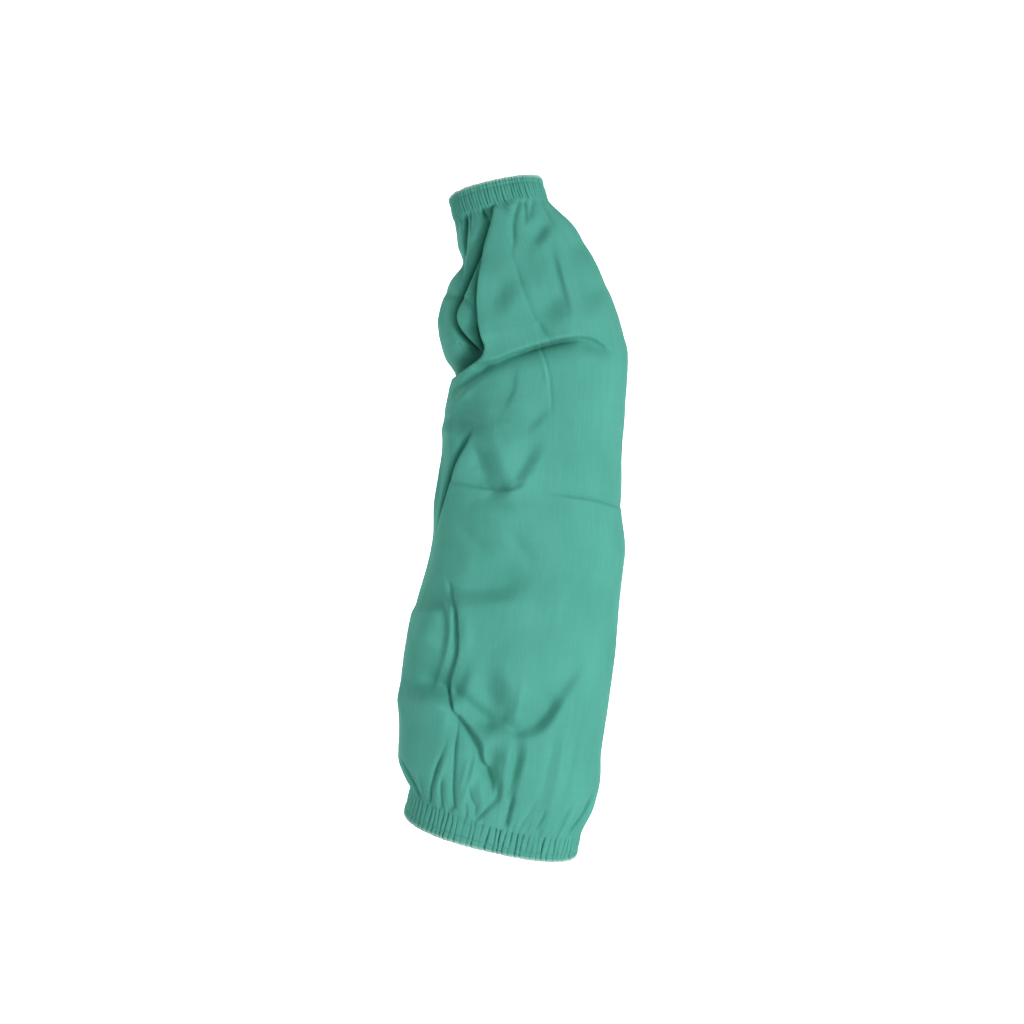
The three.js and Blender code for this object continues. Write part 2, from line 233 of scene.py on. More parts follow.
# %% The laps of the upper arm
UPPER_ARM_LAPS = {
    "upper arm groove, right edge": Lap(
        [(-39, 222), (-34, 207), (-30.5, 195), (-27.8, 184), (-27, 172), (-26.5, 158), (-27, 148),
         (-30, 137), (-34, 124), (-34.5, 115), (-32, 105)],
        1.5, 3.2, 10, 4, 0.8, 0.8, (0, 0.9)),
    "upper arm groove, left edge": Lap(
        [(-42, 214), (-38.5, 197), (-35.5, 182), (-35, 172), (-36.5, 158), (-40, 143), (-46, 126)],
        1.5, 2.4, 4, 12, 2.4, 0, (0, 0.5)),
    "winding pleat": Lap(
        [(-35, 120), (-33.5, 109), (-29, 98.5), (-23, 91.5), (-16.5, 83.5), (-10.5, 76), (-7.5, 70),
         (-7.5, 63), (-6, 56), (-1.5, 50), (0.5, 44), (1.5, 36)],
        2.6, 6, 9, 8, 2.2, 0.6, (0.05, 0.3)),
    "smile": Lap(
        [(54, 103), (47, 92), (38, 84.5), (28, 81.5), (18, 82.5), (8, 88)],
        2.1, 3.1, 26, 20, 6, 0, (0.6, 0.75)),
    "smile, left branch": Lap(
        [(-35, 122), (-27, 115.5), (-18.2, 109), (-10, 102), (-2, 95.5), (8, 90), (19.8, 85.8)],
        0.7, 3, 22, 12, 6.5, 0, (0.1, 0.5)),
    "smile, right branch": Lap(
        [(82, 146), (75, 134), (66, 121), (57, 107), (50, 97), (44, 89)],
        0.9, 1.2, 24, 18, 5.5, 0, (0, 0.5)),
    "slope over the smile": Lap(
        [(-10, 141), (0, 130), (7, 118), (9.5, 104), (9, 90)], 2.4, 4, 34, 28, 13, 0, (0, 0.9)),
    "broad upper arm dent": Lap(
        [(40, 201), (22, 197.5), (4, 195.5), (-14, 194.5), (-31, 195)],
        2.6, 2.8, 26, 20, 9.5, 0, (0, 0.55)),
    "left upper arm dent": Lap([(-35, 187), (-48, 186.5), (-66, 185)], 1.5, 2.9, 16, 14, 6, 0, (0.4, 0.5)),
    "lower left pocket": Lap(
        [(-33, 109), (-43, 113), (-54, 116), (-68, 118)], 4, 6.2, 22, 22, 10, 0, (0.9, 0.5)),
    "middle pleat": Lap(
        [(26, 78), (26, 67), (23.5, 54), (20, 40), (17.5, 28)], 0.8, 3, 14, 11, 5.5, 0, (0.2, 0.5)),
    "slope beside the ridge": Lap([(9, 76), (8, 66), (5.5, 52), (5, 38)], 1.4, 3, 12, 15, 7.5, 0, (0, 0.4)),
}
FRONT_LAPS = {**FOREARM_AND_ELBOW_LAPS, **UPPER_ARM_LAPS}
print("laps of the upper arm:", len(UPPER_ARM_LAPS))

# %% [markdown]
# Some folds are narrow lines with the same cloth on both sides: a crease that was pressed in while the
# sleeve lay folded, or a pleat that runs out of a cuff. Bump in a material could draw them, but the mesh
# wouldn't have them, so they are real grooves. drop is a groove's depth, and width how far it reaches to
# each side.

# %% The grooves in front
Dent = namedtuple("Dent", "points drop width ends")
FRONT_GROOVES = {
    "pressed lengthwise crease": Dent(
        [(42, 401), (46, 388), (48.7, 376), (50, 363), (50.7, 350), (51, 336)], 1, 1.3, (1, 0)),
    "forearm crease": Dent(
        [(45, 413), (41, 418.5), (35.5, 428), (30.5, 440), (26, 452), (21.5, 466), (17, 478), (13, 489)],
        1.3, 1.8, (0.8, 0.2)),
    "wrist groove, far left": Dent([(-21, 513), (-21, 500), (-21.3, 487), (-23.5, 467)], 6, 3, (1, 0.5)),
    "wrist groove, left": Dent([(-16.5, 513), (-16.8, 503), (-15.5, 493)], 2.5, 1.6, (1, 0)),
    "wrist groove by the lap": Dent([(-7.5, 518), (-4.5, 512), (-1.5, 507)], 5, 2, (1, 0.2)),
    "wrist groove, middle": Dent(
        [(24, 524), (20.5, 513), (18.8, 504), (18.8, 493), (17.5, 476)], 3, 2.4, (1, 0)),
    "wrist groove, second": Dent([(27.5, 525), (29, 512), (28, 500)], 3, 2, (1, 0)),
    "wrist groove, third": Dent([(35, 523), (33, 513), (32.5, 506)], 2, 2, (1, 0)),
    "wrist groove, right": Dent([(42, 522), (49, 508), (57, 494)], 1.6, 2.6, (1, 0)),
    "under the brow of the lobe": Dent([(-42, 447), (-33, 445.5), (-23, 441.5)], 5, 4, (0.3, 0.8)),
    "hook over the arm cuff": Dent(
        [(6.8, 33), (5.5, 27.5), (1.5, 22.5), (-3.5, 17.5), (-9, 12)], 3, 1.7, (0.5, 1)),
    "left of the diamond": Dent([(-14, 48), (-18, 34), (-16, 25), (-13.2, 20), (-14.5, 12)], 2, 2, (0, 1)),
    "long pleat": Dent(
        [(-30.5, 23), (-31, 34), (-30.8, 48), (-30, 62), (-28.8, 76), (-27, 92)], 3, 1.5, (1, 0.4)),
    "pleat beside the long pleat": Dent(
        [(-38, 71), (-42, 59), (-45.5, 48), (-48.2, 37), (-50, 27)], 3.6, 1.6, (0.1, 1)),
    "short pleat": Dent([(-40, 50), (-41.3, 38), (-40.5, 24)], 2.5, 1.8, (0, 1)),
    "left pleat": Dent([(-60, 30), (-64, 41), (-70, 54), (-76, 66)], 3.4, 2.4, (1, 0.2)),
    "far left pleat": Dent([(-55, 27), (-57, 38), (-61, 50)], 2.2, 2.2, (1, 0)),
    "middle pleat's lower end": Dent([(19.5, 34), (17, 22), (14, 11), (11.5, 1)], 4, 1.8, (0, 1)),
    "right streak": Dent([(42, 34), (35, 19), (28, 8), (22, -2)], 1.6, 2.6, (0, 1)),
    "far right streak": Dent([(92, 44), (86, 30), (80, 18), (73, 7), (64, -5)], 4.4, 2.8, (0, 1)),
    "second right streak": Dent([(48, 22), (42, 9), (35, -3)], 1.6, 1.8, (0, 1)),
    "third right streak": Dent([(72, 27), (63, 13), (55, 0)], 1.5, 2.2, (0, 1)),
}
print("grooves in front:", len(FRONT_GROOVES))

# %% [markdown]
# The rest is soft: hollows with a round bottom, and swells, which are hollows with a drop below zero.
# A noise texture could give the cloth some of these, but each one is in a place where the arm pushes the
# cloth out or leaves it empty, so they are drawn one by one.

# %% The hollows and swells in front
FRONT_HOLLOWS = {
    "dimple under the wrist cuff": Dent([(7, 521), (10, 518)], 2, 3, (1, 1)),
    "end of the forearm crease": Dent([(47, 412.5), (43, 415.5), (38, 423)], 1.6, 3.5, (0.6, 0)),
    "left of the forearm ridge": Dent([(49, 484), (53.5, 467), (58, 452), (62, 440)], 1.4, 4, (0, 0.2)),
    "soft valley under the ridge": Dent(
        [(6, 389), (-5, 385.5), (-15, 377), (-28, 365)], 5, 4.5, (0.3, 0.6)),
    "under the lip's right end": Dent([(70, 404), (82, 403.5), (93, 398)], 2, 5, (0, 0.3)),
    "under the crosswise crease": Dent([(-12, 275), (6, 272.5), (24, 272)], 2, 6, (0.2, 0.5)),
    "slanting hollow, left": Dent([(-32, 258), (-20, 247), (-10, 239), (2, 228)], 1.8, 6, (0, 0)),
    "slanting hollow, right": Dent([(6, 258), (17, 246), (27, 233), (40, 219)], 1.5, 6, (0, 0)),
    "long streak, right": Dent([(57, 102), (51, 70), (45, 40), (39, 12)], 1.2, 4, (0, 0.6)),
    "long streak, far right": Dent([(78, 112), (71, 75), (64, 42), (57, 14)], 1.3, 4.5, (0, 0.6)),
    "bottom of the winding pleat": Dent([(-4, 56), (0, 46), (2.5, 38), (4.5, 30)], 4, 5, (0.3, 0.6)),
}
FRONT_SWELLS = {
    "between the wrist grooves": Dent([(-13, 505), (-17.5, 487), (-21, 470)], -2.5, 4, (0.2, 0.6)),
    "between the long streaks": Dent([(67, 106), (61, 72), (55, 40), (48, 12)], -1.1, 4, (0, 0.6)),
    "crest over the smile": Dent([(27.5, 131), (25, 118), (23.5, 104), (22, 92)], -1.1, 3.4, (0, 0.3)),
    "forearm ridge": Dent(
        [(51, 500), (54.5, 483), (58.8, 467), (63, 451), (66.5, 438), (67.5, 428), (66, 419)],
        -1.5, 3, (0.1, 0.3)),
    "beside the lengthwise crease": Dent(
        [(39.5, 400), (43.5, 388), (46.4, 376), (48, 362)], -0.8, 1.6, (0.8, 0)),
    "facet under the soft valley": Dent([(-14, 370), (-24, 361), (-35, 351)], -3, 4.5, (0.2, 0.6)),
    "panel beside the upper arm groove": Dent([(-22, 182), (-20.5, 166), (-21, 148)], -1.6, 5, (0.4, 0.3)),
    "bright ridge": Dent([(-9, 69), (-12.5, 57), (-16, 45), (-21, 31)], -2.2, 2.6, (0.2, 0.7)),
    "second bright ridge": Dent([(-18, 64), (-21, 50), (-25, 34)], -1.2, 2.6, (0, 0.5)),
    "diamond": Dent([(-9, 38), (-8, 28)], -1.5, 4, (0.5, 0.5)),
    "ridge by the middle pleat": Dent([(15.5, 78), (14.8, 60), (13, 45), (10, 28)], -2, 3, (0.1, 0.7)),
    "facet beside the pleat": Dent([(-36, 66), (-40, 53), (-44, 38)], -1.6, 3, (0.1, 0.6)),
    "edge of the elbow lobe": Dent([(-42, 443), (-44, 430), (-43, 412)], -6, 7, (0.7, 0.3)),
    "sliver beside the left lap": Dent([(-41, 326), (-43, 300), (-46, 275), (-49, 252)], -7, 4, (0.8, 0.3)),
    "left edge of the pocket": Dent([(-75, 130), (-76, 114), (-74, 100)], -5, 6, (0.4, 0.4)),
    "left bump": Dent([(-66, 152), (-58, 161), (-48, 169)], -2.5, 9, (0.5, 0.2)),
}
print("hollows and swells in front:", len(FRONT_HOLLOWS), len(FRONT_SWELLS))

# %% [markdown]
# The back isn't seen from the viewpoint. Mirroring the front's folds would look copied, so the back has
# the plain ones that a bent arm gives: laps across the inside of the elbow, swags on the upper arm and
# pleats out of the cuffs. x and z are still the front view's.

# %% The folds of the back
BACK_LAPS = {
    "elbow crease": Lap([(-46, 366), (0, 384), (78, 396)], 3.4, 4.2, 20, 14, 4.5, 0, (0.9, 0)),
    "second elbow crease": Lap([(-45, 330), (-6, 352), (58, 360)], 2.2, 3, 16, 12, 4.5, 0, (0.7, 0)),
    "fan above the elbow": Lap([(-42, 402), (4, 424), (58, 434)], 1.6, 2.2, 18, 14, 6, 0, (0.6, 0)),
    "fan below the elbow": Lap([(-44, 304), (2, 318), (56, 322)], 1.4, 2, 16, 14, 6, 0, (0.6, 0)),
    "slack below the elbow": Lap([(-48, 250), (-8, 280), (66, 292)], 2.2, 3, 18, 12, 5, 0, (0.8, 0)),
    "drag to the outer arm": Lap([(-34, 240), (22, 222), (86, 214)], 1.6, 2, 26, 22, 9, 0, (0.2, 0)),
    "upper arm swag": Lap([(-62, 190), (-20, 160), (46, 150)], 2.4, 3.6, 18, 14, 6, 0, (0.4, 0)),
    "low swag": Lap([(78, 150), (34, 116), (-14, 104)], 1.5, 2.2, 20, 16, 7, 0, (0, 0.2)),
    "forearm lap": Lap([(20, 508), (12, 462), (26, 420)], 1.8, 2.6, 14, 10, 4, 0, (0.6, 0)),
    "outer forearm turn": Lap([(44, 506), (56, 470), (78, 436)], 1.2, 1.8, 16, 14, 6, 0, (0.5, 0)),
    "left pleat": Lap([(-44, 30), (-38, 76), (-50, 118)], 2, 3.4, 9, 9, 3, 0, (1, 0)),
    "middle pleat": Lap([(0, 20), (4, 62), (-6, 112)], 1.6, 3.4, 9, 9, 3, 0, (1, 0)),
    "right pleat": Lap([(48, 8), (50, 46), (60, 90)], 1.6, 3.4, 9, 9, 3, 0, (1, 0)),
}
BACK_GROOVES = {
    "notch over the elbow lobe": Dent([(-46, 468), (-20, 456), (30, 448)], 5, 9, (1, 0)),
    "pressed crosswise crease": Dent([(-40, 289), (30, 283), (108, 268)], 1.5, 3, (0.6, 0.8)),
    "short pleat, far left": Dent([(-60, 32), (-62, 56), (-68, 82)], 3.4, 2, (1, 0)),
    "short pleat, left": Dent([(-22, 24), (-18, 50), (-24, 82)], 3.4, 1.8, (1, 0)),
    "short pleat, right": Dent([(24, 12), (29, 38), (27, 66)], 3.4, 1.8, (1, 0)),
    "short pleat, far right": Dent([(68, 2), (71, 28), (80, 58)], 3.4, 2, (1, 0)),
    "wrist pleat, left": Dent([(-14, 508), (-12, 484), (-18, 458)], 3, 2, (1, 0)),
    "wrist pleat, middle": Dent([(2, 513), (1, 492), (-4, 470)], 2.6, 1.8, (1, 0)),
    "wrist pleat, right": Dent([(32, 516), (37, 494), (47, 472)], 3, 2, (1, 0)),
}
BACK_HOLLOWS = {
    "between the elbow creases": Dent([(-34, 346), (4, 366), (40, 374)], 3, 8, (0.8, 0)),
    "outer upper arm": Dent([(44, 256), (62, 218), (72, 176)], 2.6, 15, (0, 0)),
    "inner upper arm": Dent([(-48, 150), (-34, 128), (-12, 122)], 3, 12, (0.3, 0)),
    "outer forearm": Dent([(52, 474), (66, 450), (82, 432)], 2.2, 11, (0, 0)),
    "over the cuff": Dent([(-24, 96), (6, 84), (40, 86)], 2.4, 11, (0, 0)),
}
print("folds at the back:", [len(kind) for kind in (BACK_LAPS, BACK_GROOVES, BACK_HOLLOWS)])

# %% [markdown]
# A drawn line becomes a height at every point of the cloth by its distance from the line. The distance is
# measured along the cloth, so a fold keeps its width where the sleeve turns away from the viewer.
# Past a line's end its fold fades out.

# %% Distances from a drawn line
LINE_STEPS = 32
END_FADE = 7.0
END_RAMP = 0.9


def beside(points, places):
    """Where places on the picture are, beside a drawn line.

    Gives the share along the line, the distance to its left, the way left, and how far past an end.
    """
    points = np.array(points, float)
    stations = stations_of(points)
    line = smooth_through(stations, points, np.linspace(0, stations[-1], LINE_STEPS + 1))
    best = np.full(len(places), np.inf)
    share, across, past = np.zeros((3, len(places)))
    way = np.zeros((len(places), 2))
    for i, (a, b) in enumerate(zip(line[:-1], line[1:])):
        length = np.linalg.norm(b - a)
        ahead = (b - a) / length
        left = np.array([-ahead[1], ahead[0]])
        off = places - a
        run, side = off @ ahead, off @ left
        held = np.clip(run, 0, length)
        distance = np.hypot(run - held, side)
        nearer = distance < best
        best = np.where(nearer, distance, best)
        share = np.where(nearer, (i + held / length) / LINE_STEPS, share)
        open_end = ((run < 0) & (i == 0)) | ((run > length) & (i == LINE_STEPS - 1))
        across = np.where(nearer, np.where(open_end, side, np.sign(side) * distance), across)
        past = np.where(nearer, np.where(open_end, np.abs(run - held), 0), past)
        way = np.where(nearer[:, None], left, way)
    return share, across, way, past


def strength(ends, share, past):
    """A fold's strength along its line: full in the middle, and as ends says at each end."""
    half = 1 - np.abs(2 * share - 1)
    at_end = np.where(share < 0.5, ends[0], ends[1])
    return (at_end + (1 - at_end) * smoothstep(0, END_RAMP, half)) * np.exp(-np.square(past / END_FADE))


print("steps in a drawn line:", LINE_STEPS)

# %% [markdown]
# Across a lap the height steps up from the valley to the swell, and each dies away over its own width.
# A sharp lap also leans: its swell slides a little over the valley, so the edge throws a shadow.
# Displacement along the normal alone would carry a fold away from its line where the sleeve turns aside, so
# the cloth moves mostly towards the viewer. How deep a point lies in a crease is kept for the material.

# %% Heights from distances
FORWARD = np.array([0.0, -1.0, 0.0])
TOWARDS_EYE = 0.8
FOLD_SCALE, SOFT_FOLD_SCALE = 1.35, 2.45
FOLD_POWER, SOFT_FOLD_POWER = 1.3, 2.0
GROOVE_POWER, HOLLOW_POWER = 1.15, 2.0
SOFT_EDGE = 2.5
FOLD_REACH = 3
STEEPEST = 2.5


def lap_shape(lap, across):
    """The heights across a lap, how deep its crease is there, and how far its swell slides."""
    soft = lap.edge >= SOFT_EDGE
    scale, power = (SOFT_FOLD_SCALE, SOFT_FOLD_POWER) if soft else (FOLD_SCALE, FOLD_POWER)
    on_swell = smoothstep(-lap.edge, lap.edge, across)
    swell = on_swell * lap.rise * np.exp(-((np.maximum(across, 0) / lap.swell) ** power))
    valley = (1 - on_swell) * lap.drop * np.exp(-((np.maximum(-across, 0) / lap.valley) ** power))
    slide = -lap.lean * np.exp(-np.square((across - lap.edge) / (2 * lap.edge)))
    return scale * (swell - valley), scale * valley * (not soft), slide


def dent_shape(dent, across, is_groove):
    """The same for a groove, a hollow or a swell. Only a groove counts as a crease, and none slides."""
    power = GROOVE_POWER if is_groove else HOLLOW_POWER
    depth = FOLD_SCALE * dent.drop * np.exp(-(np.abs(across / dent.width) ** power))
    return -depth, np.maximum(depth, 0) * is_groove, 0 * depth


def folded(grid, normal, laps, grooves, hollows, seen, sight):
    """How far the folds move each point of a grid, as vectors, and how deep it lies in a crease."""
    moved = np.zeros(grid.shape)
    sunk = np.zeros(grid.shape[:2])
    lift = (1 - TOWARDS_EYE) * normal + TOWARDS_EYE * sight
    lift /= np.linalg.norm(lift, axis=2, keepdims=True)
    kinds = ((laps, False), (grooves, True), (hollows, False))
    for fold, is_groove in [(fold, is_groove) for kind, is_groove in kinds for fold in kind.values()]:
        is_lap = isinstance(fold, Lap)
        reach = FOLD_REACH * (max(fold.swell, fold.valley) if is_lap else fold.width)
        low, high = np.min(fold.points, axis=0) - reach, np.max(fold.points, axis=0) + reach
        near = ((seen > low) & (seen < high)).all(axis=2)
        share, across, way, past = beside(fold.points, seen[near])
        n = normal[near]
        slope = -(n[:, 0] * way[:, 0] + n[:, 2] * way[:, 1]) / np.where(n[:, 1] < 0, -1, 1)
        slope /= np.maximum(np.abs(n[:, 1]), 1 / STEEPEST)
        left = np.stack([way[:, 0], np.clip(slope, -STEEPEST, STEEPEST), way[:, 1]], axis=1)
        stretch = np.linalg.norm(left, axis=1)
        across = across * stretch
        full = strength(fold.ends, share, past)
        if is_lap:
            height, crease, slide = lap_shape(fold, across - full * fold.lean)
        else:
            height, crease, slide = dent_shape(fold, across, is_groove)
        moved[near] += (full * height)[:, None] * lift[near] + (full * slide / stretch)[:, None] * left
        sunk[near] += full * crease
    return moved, sunk


print("fold scales:", FOLD_SCALE, SOFT_FOLD_SCALE)

# %% [markdown]
# The elastic draws the cloth in, so each cuff is a ring of narrow ribs, flat on top with a sharp groove
# between them. An array of one rib would be too regular, so their widths and depths come from a seeded
# generator. Each groove runs on past the seam for a few millimetres of its own, and longer pleats start
# there too. The same grooves shape the cuff and the end of the tube, so that the two meet.

# %% Ribs and gathers
Gathers = namedtuple("Gathers", "seam seed ribs rib_depth rib_reach pleats pleat_depth pleat_length")
WRIST = Gathers(
    seam=WRIST_SEAM, seed=3, ribs=90, rib_depth=2.1, rib_reach=4,
    pleats=34, pleat_depth=4, pleat_length=24,
)
UPPER_ARM = Gathers(
    seam=UPPER_ARM_SEAM, seed=8, ribs=86, rib_depth=2, rib_reach=5,
    pleats=44, pleat_depth=4, pleat_length=26,
)
RIB_SPREAD, RIB_DEPTHS, RIB_REACHES = 0.35, (0.4, 1.2), (0.3, 2.0)
RIB_FLATNESS = 5.0
# Up the cuff, a groove wanders to the side by a small share of the girth, and its depth comes and goes.
RIB_WANDER, RIB_WANDERS_ROUND, RIB_SWAY = 0.0008, 23, 4.0
RIB_UNEVENNESS, RIB_SHIFT = 0.3, 2.4
PLEAT_SEED_STEP = 100
PLEAT_LENGTHS, PLEAT_DEPTHS = (0.3, 1.6), (0.5, 1.2)
# These are shares of the distance from one pleat to the next.
PLEAT_SCATTER, PLEAT_LEAN, PLEAT_WIDTH, PLEAT_WIDENING = 0.4, 0.35, 0.13, 0.3
FINE_STEPS = 2000


def girth_shares(gathers, turn):
    """How far round the seam each turn is, as a share of the girth from the middle of the back."""
    fine = np.linspace(-np.pi, np.pi, FINE_STEPS)
    stations = stations_of(smooth_tube(np.array([gathers.seam]), fine)[0])
    return np.interp(turn, fine, stations / stations[-1])


def even_turns(gathers, columns):
    """The turns of columns that are evenly spaced round the seam."""
    fine = np.linspace(-np.pi, np.pi, FINE_STEPS)
    return np.interp(np.arange(columns) / columns, girth_shares(gathers, fine), fine)


def rib_heights(gathers, turn, cuff_share, distance):
    """The grooves' heights, below zero, at each turn, by share of the cuff and distance past its seam."""
    rng = np.random.default_rng(gathers.seed)
    widths = 1 + RIB_SPREAD * rng.uniform(-1, 1, gathers.ribs)
    depths = gathers.rib_depth * rng.uniform(*RIB_DEPTHS, gathers.ribs)
    reaches = gathers.rib_reach * rng.uniform(*RIB_REACHES, gathers.ribs)
    grooves = np.concatenate([[0], np.cumsum(widths)]) / widths.sum()
    around = girth_shares(gathers, turn)
    sway = RIB_SWAY * cuff_share[:, None]
    wandered = (around + RIB_WANDER * np.sin(RIB_WANDERS_ROUND * TAU * around + sway)) % 1
    i = np.clip(np.searchsorted(grooves, wandered, side="right") - 1, 0, gathers.ribs - 1)
    share = np.clip((wandered - grooves[i]) / (grooves[i + 1] - grooves[i]), 0, 1)
    nearest = (i + (share > 0.5)) % gathers.ribs
    closeness = (1 - 2 * np.minimum(share, 1 - share)) ** RIB_FLATNESS
    uneven = 1 + RIB_UNEVENNESS * np.sin(RIB_SHIFT * nearest + sway)
    return -depths[nearest] * uneven * closeness * np.exp(-distance[:, None] / reaches[nearest])


def pleat_depths(gathers, distance, turn):
    """How far the pleats go in, with a row for each distance past the seam and a column for each turn."""
    rng = np.random.default_rng(gathers.seed + PLEAT_SEED_STEP)
    pitch = TAU / gathers.pleats
    depth = np.zeros((len(distance), len(turn)))
    for i in range(gathers.pleats):
        at = (i + rng.uniform(-PLEAT_SCATTER, PLEAT_SCATTER)) * pitch
        length = gathers.pleat_length * rng.uniform(*PLEAT_LENGTHS)
        deep = gathers.pleat_depth * rng.uniform(*PLEAT_DEPTHS)
        lean = rng.uniform(-PLEAT_LEAN, PLEAT_LEAN) * pitch
        centre = at + lean * distance / gathers.pleat_length
        away = np.abs((turn[None, :] - centre[:, None] + np.pi) % TAU - np.pi) / pitch
        width = PLEAT_WIDTH + PLEAT_WIDENING * distance / gathers.pleat_length
        shape = np.exp(-((away / width[:, None]) ** GROOVE_POWER))
        depth += deep * shape * (1 - smoothstep(0, length, distance))[:, None]
    return depth


print("ribs:", WRIST.ribs, "at the wrist,", UPPER_ARM.ribs, "at the upper arm")

# %% [markdown]
# Tube and cuffs are grids of quads, with rows up the sleeve and columns round it. A list of vertices and
# faces would do, but it is easier to start from Blender's cone with equal ends and no caps and to cut it
# into rows, because then its faces close round by themselves. Its vertices are moved into place afterwards.

# %% Grids of cloth
def spread(count, density):
    """Shares from 0 to 1, closer together where density, a function of the share, is high."""
    at = np.linspace(0, 1, FINE_STEPS)
    total = np.concatenate([[0], np.cumsum((density(at)[1:] + density(at)[:-1]) / 2)])
    return np.interp(np.linspace(0, total[-1], count), total, at)


def open_tube(name, columns, rows):
    """A tube of quads as a new mesh, with the row and the column of each of its vertices."""
    bm = bmesh.new()
    bmesh.ops.create_cone(bm, segments=columns, radius1=1, radius2=1, depth=1, cap_ends=False)
    upright = [e for e in bm.edges if abs(e.verts[0].co.z - e.verts[1].co.z) > 0.5]
    bmesh.ops.subdivide_edges(bm, edges=upright, cuts=rows - 2, use_grid_fill=True)
    mesh = bpy.data.meshes.new(name)
    bm.to_mesh(mesh)
    bm.free()
    co = np.empty(len(mesh.vertices) * 3)
    mesh.vertices.foreach_get("co", co)
    x, y, z = co.reshape(-1, 3).T
    column = np.rint((np.arctan2(x, -y) / TAU + 0.5) * columns).astype(int) % columns
    row = np.rint((z + 0.5) * (rows - 1)).astype(int)
    return mesh, row, column


def set_places(mesh, places):
    """Moves a mesh's vertices to places in millimetres, and shades it smooth."""
    mesh.vertices.foreach_set("co", (places * MM).ravel())
    mesh.polygons.foreach_set("use_smooth", [True] * len(mesh.polygons))
    mesh.update()


def set_cloth_map(mesh, around, up):
    """A UV map in metres of cloth, from each vertex's place round and up it. It is cut at the back."""
    corners = np.empty(len(mesh.loops), int)
    mesh.loops.foreach_get("vertex_index", corners)
    u = around[corners].reshape(-1, 4)
    width = around.max()
    u = np.where(u < u.max(axis=1, keepdims=True) - width / 2, u + width, u)
    layer = mesh.uv_layers.new(name="cloth")
    layer.uv.foreach_set("vector", np.stack([u.ravel(), up[corners]], axis=1).ravel().astype(np.float32))


def set_share(mesh, name, shares):
    """A number from 0 to 1 at each vertex, for the material."""
    layer = mesh.attributes.new(name, "FLOAT", "POINT")
    layer.data.foreach_set("value", shares.astype(np.float32))


def add_object(mesh):
    piece = bpy.data.objects.new(mesh.name, mesh)
    bpy.context.scene.collection.objects.link(piece)
    return piece


print("grid helpers are ready")

# %% [markdown]
# An even grid that is fine enough for the sharp creases would need far too many faces. So its rows crowd
# together by the cuffs, at the elbow and at the pressed crosswise crease, and its columns on the front.

# %% Rows and columns of the tube
TUBE_COLUMNS, TUBE_ROWS = 384, 258
CLOTH_AROUND, CLOTH_ALONG = 0.435, 0.545
# The crowding of the rows needs the tube's length only roughly.
TUBE_LENGTH = 520.0
UPPER_ARM_CROWDING, WRIST_CROWDING = 30.0, 25.0
Crowd = namedtuple("Crowd", "place reach gain")
ROW_CROWDS = {"elbow": Crowd(385, 35, 0.8), "crosswise crease": Crowd(262, 12, 1.3)}
FRONT_COLUMNS = Crowd(0.45, 0.17, 1.2)


def crowding(crowd, at):
    return crowd.gain * np.exp(-np.square((at - crowd.place) / crowd.reach))


def tube_row_density(share):
    up = share * TUBE_LENGTH
    by_the_cuffs = np.exp(-up / UPPER_ARM_CROWDING) + np.exp((up - TUBE_LENGTH) / WRIST_CROWDING)
    return 1 + by_the_cuffs + sum(crowding(crowd, up) for crowd in ROW_CROWDS.values())


def tube_column_density(share):
    return 1 + crowding(FRONT_COLUMNS, share)


tube_share = spread(TUBE_ROWS, tube_row_density)
tube_along = UPPER_ARM_SEAM + tube_share * (WRIST_SEAM - UPPER_ARM_SEAM)
tube_turn = spread(TUBE_COLUMNS + 1, tube_column_density)[:-1] * TAU - np.pi
print("tube grid:", TUBE_ROWS, "rows of", TUBE_COLUMNS)

# %% [markdown]
# Now the tube gets its folds. Blender's cloth could settle them, but it takes a minute and changes almost
# nothing, so the drawn form is kept. The front view's folds hold on the front and the back's behind, and at
# the sides one gives way to the other. The lengthwise seam at the back draws the cloth in along a line, and
# a little noise, longer up the sleeve than round it, keeps the flat stretches from looking pressed out of
# clay. The tube is one sheet without a thickness: its ends meet the cuffs at the seams, so no edge shows.

# %% The tube with its folds
FOLD_FADE = 7.0
FRONT_BLEND = (-0.4, 0.1)
FRONT_PLEAT_SHARE, FRONT_PLEAT_BLEND = 0.5, (0.0, 0.6)
PLEAT_START = 4.0
CREASE_DEPTHS = (3.0, 18.0)
SEAM_TURN, SEAM_HALF_WIDTH, SEAM_DEPTH = np.radians(172), np.radians(2.2), 1.6
SEAM_STITCH_TURN = np.radians(165)
NOISE_SIZES_AND_HEIGHTS = [(60.0, 1.6), (24.0, 0.8), (11.0, 0.2)]
NOISE_SCALE_UP = 0.6


def noise_heights(grid):
    """Soft unevenness of the cloth, in three sizes."""
    flat = grid.reshape(-1, 3)
    heights = np.zeros(len(flat))
    for size, height in NOISE_SIZES_AND_HEIGHTS:
        scale = np.array([1 / size, 1 / size, NOISE_SCALE_UP / size])
        heights += height * np.array([noise.noise(p) for p in flat * scale])
    return heights.reshape(grid.shape[:2])


def seam_depths(turn):
    """How far the lengthwise seam draws the cloth in, at each turn."""
    away = np.abs((turn - SEAM_TURN + np.pi) % TAU - np.pi)
    return SEAM_DEPTH * np.exp(-np.square(away / SEAM_HALF_WIDTH))


